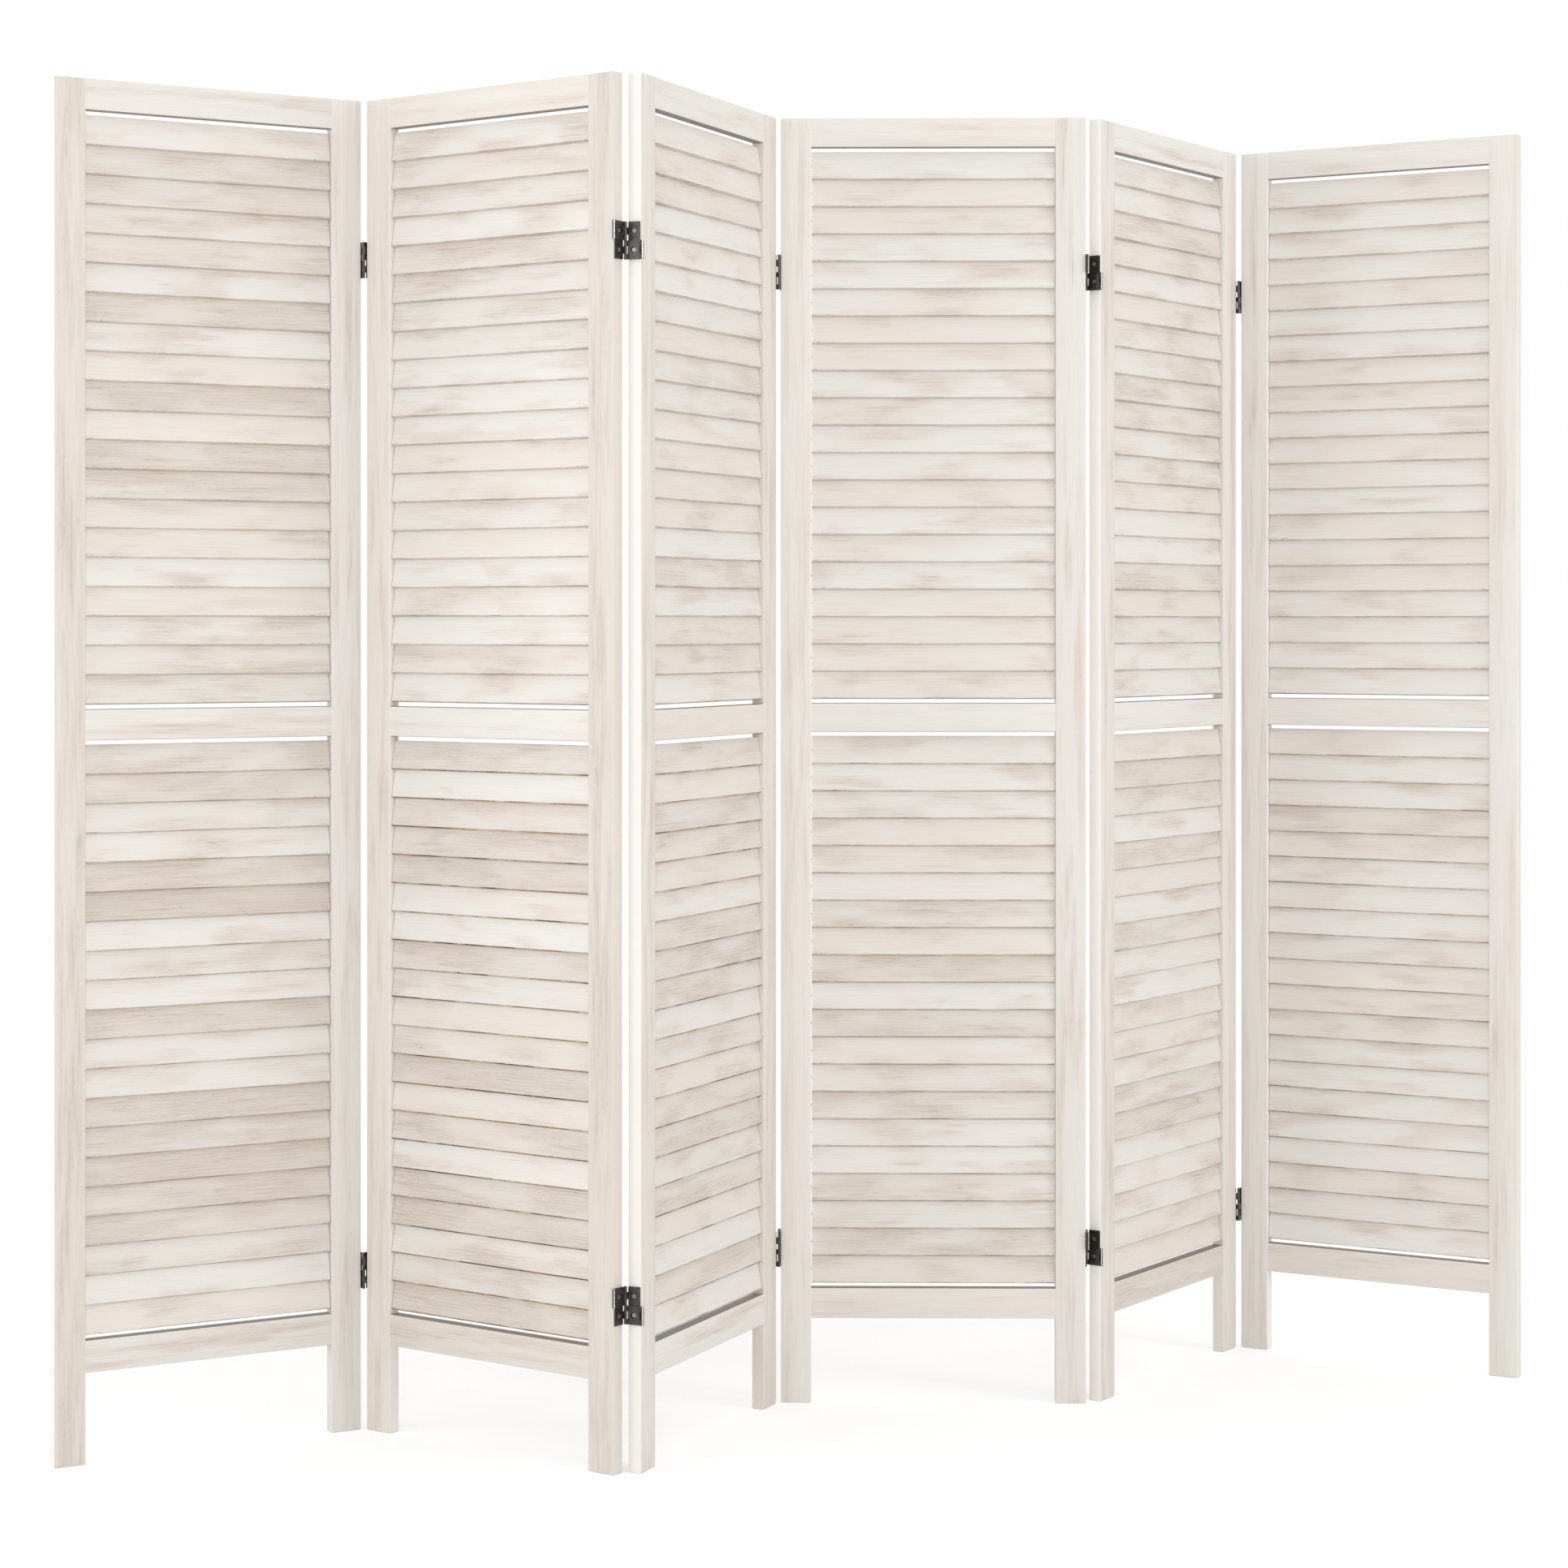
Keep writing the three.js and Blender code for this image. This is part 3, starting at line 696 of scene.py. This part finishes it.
def rolled_plate(faces, side, end_y):
    """A plate in plan between two x, its end rolled into a knuckle about the front or back axis."""
    x0, x1 = faces
    start = math.acos(x1 / KNUCKLE_RADIUS)
    stop = math.acos(max(-1.0, x0 / KNUCKLE_RADIUS)) - 2 * math.pi
    outline = []
    for step in range(KNUCKLE_SIDES + 1):
        angle = start + (stop - start) * step / KNUCKLE_SIDES
        y = side * (AXIS_OFFSET - KNUCKLE_RADIUS * math.sin(angle))
        outline.append((KNUCKLE_RADIUS * math.cos(angle), y))
    return outline + [(x0, end_y), (x1, end_y)]


# a vertex's share of the painted highlight
def painted_highlight(mesh, vertex, share):
    vertex[mesh.verts.layers.float_vector["painted_highlight"]] = (share, share, share)


def add_rolled(mesh, faces, side, end_y, span):
    bore = circle(HINGE_BORE_DIAMETER / 2, PIN_SIDES, (0, side * AXIS_OFFSET))
    first = len(mesh.verts)
    extruded(mesh, rolled_plate(faces, side, end_y), *span, holes=(bore,))
    mesh.verts.ensure_lookup_table()
    # painted highlight: the share grows towards the barrel's side at the angle given above
    for vertex in mesh.verts[first:]:
        outward = side * vertex.co.y - AXIS_OFFSET
        away = vertex.co.x
        facing = outward * math.cos(PAINTED_HIGHLIGHT_ANGLE) + away * math.sin(PAINTED_HIGHLIGHT_ANGLE)
        painted_highlight(mesh, vertex, facing / KNUCKLE_RADIUS)


def add_pin(mesh, side, span):
    """A pin with slightly domed ends."""
    low, high = span
    radius = HINGE_PIN_DIAMETER / 2
    dome = radius * PIN_DOME
    rings = []
    for z, share in ((low, PIN_END), (low + dome, 1.0), (high - dome, 1.0), (high, PIN_END)):
        outline = circle(radius * share, PIN_SIDES, (0, side * AXIS_OFFSET))
        rings.append([mesh.verts.new((x, y, z)) for x, y in outline])
    for before, after in zip(rings, rings[1:]):
        add_sides(mesh.faces, before, after)
    add_ends(mesh.faces, rings[0], rings[-1])


def flat_plate(mesh, faces, half_width, span, corner, hole=()):
    """A plate across X with round corners, and a hole if there is one, as (y, z) points."""
    low, high = span
    middle = (low + high) / 2
    outline = [(y, z + middle) for y, z in rounded_section(2 * half_width, high - low, corner)]
    first = len(mesh.verts)
    extruded(mesh, outline, *faces, holes=(hole,) if hole else ())
    mesh.verts.ensure_lookup_table()
    for vertex in mesh.verts[first:]:
        y, z, x = vertex.co
        vertex.co = (x, y, z)


def screw_head(mesh, x, z, turn):
    """A countersunk head, flush with the leaf's face, with a cross recess."""
    radius = SCREW_HEAD_DIAMETER / 2
    arm, wide = SCREW_SLOT_LENGTH / 2, SCREW_SLOT_WIDTH / 2
    cross = [(arm, -wide), (arm, wide), (wide, wide), (wide, arm), (-wide, arm), (-wide, wide)]
    cross += [(-a, -b) for a, b in cross]
    cos, sin = math.cos(turn), math.sin(turn)
    cross = [(a * cos - b * sin, a * sin + b * cos) for a, b in cross]
    rim = circle(radius, WINDOW_SIDES)

    def ring(points, depth):
        return [mesh.verts.new((x - depth, y, z + up)) for y, up in points]
    face_rim, face_cross = ring(rim, 0.0), ring(cross, 0.0)
    edges = []
    for loop in (face_rim, face_cross):
        edges += [mesh.edges.new((a, b)) for a, b in zip(loop, loop[1:] + loop[:1])]
    bmesh.ops.triangle_fill(mesh, use_beauty=True, edges=edges)
    floor = ring([(RECESS_NARROWING * a, RECESS_NARROWING * b) for a, b in cross], SCREW_SLOT_DEPTH)
    skirt = ring([(SKIRT_NARROWING * a, SKIRT_NARROWING * b) for a, b in rim], SKIRT_DEPTH)
    add_sides(mesh.faces, face_cross, floor)
    add_sides(mesh.faces, face_rim, skirt)
    add_ends(mesh.faces, skirt, floor)
    # painted highlight on the screw's cross
    for vertex in face_cross:
        painted_highlight(mesh, vertex, 1.0)


def hinge_half_mesh():
    """The half whose front pins turn, as its left panel carries it."""
    mesh = bmesh.new()
    mesh.verts.layers.float_vector.new("painted_highlight")
    half, parting = HINGE_HEIGHT / 2, KNUCKLE_GAP / 2
    lower, upper = knuckle_spans(-half, -parting), knuckle_spans(parting, half)
    outside = -PANEL_GAP / 2 + SEAT_GAP
    leaf_faces = (outside, outside + LEAF_THICKNESS)
    link_faces = (-LINK_THICKNESS / 2, LINK_THICKNESS / 2)

    leaf_reach = plate_reach(leaf_faces[1])
    flat_plate(mesh, leaf_faces, leaf_reach, (-half, half), LEAF_CORNER_RADIUS)
    add_rolled(mesh, leaf_faces, FRONT, PLATE_RUN_IN - leaf_reach, upper[1])
    add_rolled(mesh, leaf_faces, BACK, leaf_reach - PLATE_RUN_IN, lower[1])

    link_reach = plate_reach(0.0)
    middle = -(half + parting) / 2
    window = [(y, z + middle) for y, z in circle(SCREW_WINDOW_DIAMETER / 2, WINDOW_SIDES)]
    link_span = (-half, -parting)
    flat_plate(mesh, link_faces, link_reach, link_span, LINK_CORNER_RADIUS, hole=window)
    for side in (FRONT, BACK):
        for span in (lower[0], lower[2]):
            add_rolled(mesh, link_faces, side, side * (link_reach - PLATE_RUN_IN), span)
        add_pin(mesh, side, link_span)
    for z, turn in ((middle, LOWER_SCREW_TURN), (-middle, UPPER_SCREW_TURN)):
        screw_head(mesh, leaf_faces[1] + SCREW_PROUD, z, turn)
    return mesh


def half_turns(on_right_edge, front_pins_turn):
    """Turns the half of hinge_half_mesh over for the other panel's edge, or for back pins."""
    turns = Matrix.Identity(4)
    if not on_right_edge:
        turns = Matrix.Rotation(math.pi, 4, "Y") @ turns
    if not front_pins_turn:
        turns = Matrix.Rotation(math.pi, 4, "X") @ turns
    return turns


def add_hinge_half(number, on_right_edge, where, height, material):
    first, side = (number, "left") if on_right_edge else (number - 1, "right")
    node = f"hinge_{first}_{first + 1}_{where}_{side}_half"
    piece = finished(hinge_half_mesh(), f"{node}_looks", smooth_angle_deg=35)
    x = PANEL_WIDTH + PANEL_GAP / 2 if on_right_edge else -PANEL_GAP / 2
    turns = half_turns(on_right_edge, front_pins_turn_after(first))
    put(piece, panel_place(number) @ Matrix.Translation((x, 0, height)) @ turns)
    dress(piece, f"panel_{number}", node, material)


def add_hinges(material):
    heights = (("top", PANEL_HEIGHT - HINGE_INSET), ("bottom", HINGE_INSET))
    for number in range(1, PANEL_COUNT + 1):
        for where, height in heights:
            if number < PANEL_COUNT:
                add_hinge_half(number, True, where, height, material)
            if number > 1:
                add_hinge_half(number, False, where, height, material)


# ---- Studio ----

FLOOR_SIZE = 60.0
FLOOR_ALBEDO = 0.85
FLOOR_GLOW = 0.30  # how white the floor is for the camera, before the light that falls on it
WORLD_LIGHT = 0.82
LAMP_AIM = (0, 0, 1.3)
FAR_LEFT_AIM = (0.5, 0, 1.3)
SIDE_LAMP_SIZE = (2.6, 1.8)
LAMPS = (  # name, place, aim, size, watts
    ("front", (-0.3, -9.0, 2.2), LAMP_AIM, (1.5, 1.2), 116),
    ("left", (-7.5, -5.2, 2.0), LAMP_AIM, SIDE_LAMP_SIZE, 98),
    ("right", (7.5, -4.4, 2.0), LAMP_AIM, SIDE_LAMP_SIZE, 148),
    ("far_left", (-8.0, -1.9, 2.0), FAR_LEFT_AIM, SIDE_LAMP_SIZE, 74),
)


def white_floor():
    """A floor that the camera sees as white paper, darker only where the object shades it."""
    bpy.ops.mesh.primitive_plane_add(size=FLOOR_SIZE)
    floor = bpy.context.object
    floor.name = "studio_floor"
    s = Surface("studio_floor")
    s.tree.nodes.remove(s.bsdf)
    strength = s.maths("MULTIPLY", s.background_rays(), FLOOR_GLOW)
    glow = s.node("ShaderNodeEmission", {"Strength": strength})
    albedo = (FLOOR_ALBEDO, FLOOR_ALBEDO, FLOOR_ALBEDO, 1.0)
    paper = s.node("ShaderNodeBsdfDiffuse", {"Color": albedo})
    both = s.node("ShaderNodeAddShader", {0: glow.outputs[0], 1: paper.outputs[0]})
    s.set(s.tree.nodes["Material Output"].inputs["Surface"], both.outputs[0])
    floor.data.materials.append(s.material)


def white_world():
    """Even light from all around, and white where the background itself is seen."""
    world = bpy.data.worlds.new("studio")
    bpy.context.scene.world = world
    world.use_nodes = True
    nodes = Nodes(world.node_tree)
    levels = {"Value": nodes.background_rays(), "To Min": WORLD_LIGHT, "To Max": 1.0}
    background = nodes.tree.nodes["Background"].inputs
    background["Color"].default_value = (1, 1, 1, 1)
    nodes.set(background["Strength"], nodes.node("ShaderNodeMapRange", levels).outputs["Result"])


def softbox(name, place, aim, size, watts):
    light = bpy.data.lights.new(name, "AREA")
    light.shape = "RECTANGLE"
    light.size, light.size_y = size
    light.energy = watts
    lamp = bpy.data.objects.new(name, light)
    bpy.context.scene.collection.objects.link(lamp)
    lamp.location = place
    lamp.rotation_euler = (Vector(aim) - Vector(place)).to_track_quat("-Z", "Y").to_euler()


def camera():
    data = bpy.data.cameras.new("camera")
    data.sensor_width = SENSOR_WIDTH_MM
    data.lens = FOCAL_LENGTH_PX / PHOTO_SIZE * SENSOR_WIDTH_MM
    data.shift_y = (HORIZON_PX - PHOTO_SIZE / 2) / PHOTO_SIZE
    eye = bpy.data.objects.new("camera", data)
    bpy.context.scene.collection.objects.link(eye)
    eye.location = CAMERA_PLACE
    eye.rotation_euler = (math.radians(90), 0, 0)
    bpy.context.scene.camera = eye


# ---- The whole scene ----

def add_panel(number, frame_wood, slat_wood, chance):
    add_frame(number, frame_wood, chance)
    lower = (LOWER_BANK_WEAR_AND_SHADE[number - 1], LOWER_BANK_RUB_AND_SHADE_LINES[number - 1], slat_wood, chance)
    upper = (UPPER_BANK_WEAR_AND_SHADE[number - 1], UPPER_BANK_RUB_AND_SHADE_LINES[number - 1], slat_wood, chance)
    add_joined_bank(number, "lower", LOWER_WINDOW_BOTTOM, *lower)
    if number == TURNING_BANK_PANEL:
        add_turning_bank(number, UPPER_WINDOW_BOTTOM, *upper)
    else:
        add_joined_bank(number, "upper", UPPER_WINDOW_BOTTOM, *upper)


def build():
    chance = random.Random(7)
    frame_wood = whitewashed_wood("whitewashed_frame", is_slat=False)
    slat_wood = whitewashed_wood("whitewashed_slats", is_slat=True)
    for number in range(1, PANEL_COUNT + 1):
        add_panel(number, frame_wood, slat_wood, chance)
    add_hinges(dark_bronze())
    white_floor()
    white_world()
    for lamp in LAMPS:
        softbox(*lamp)
    camera()
    bpy.context.scene.view_settings.view_transform = "Standard"


build()
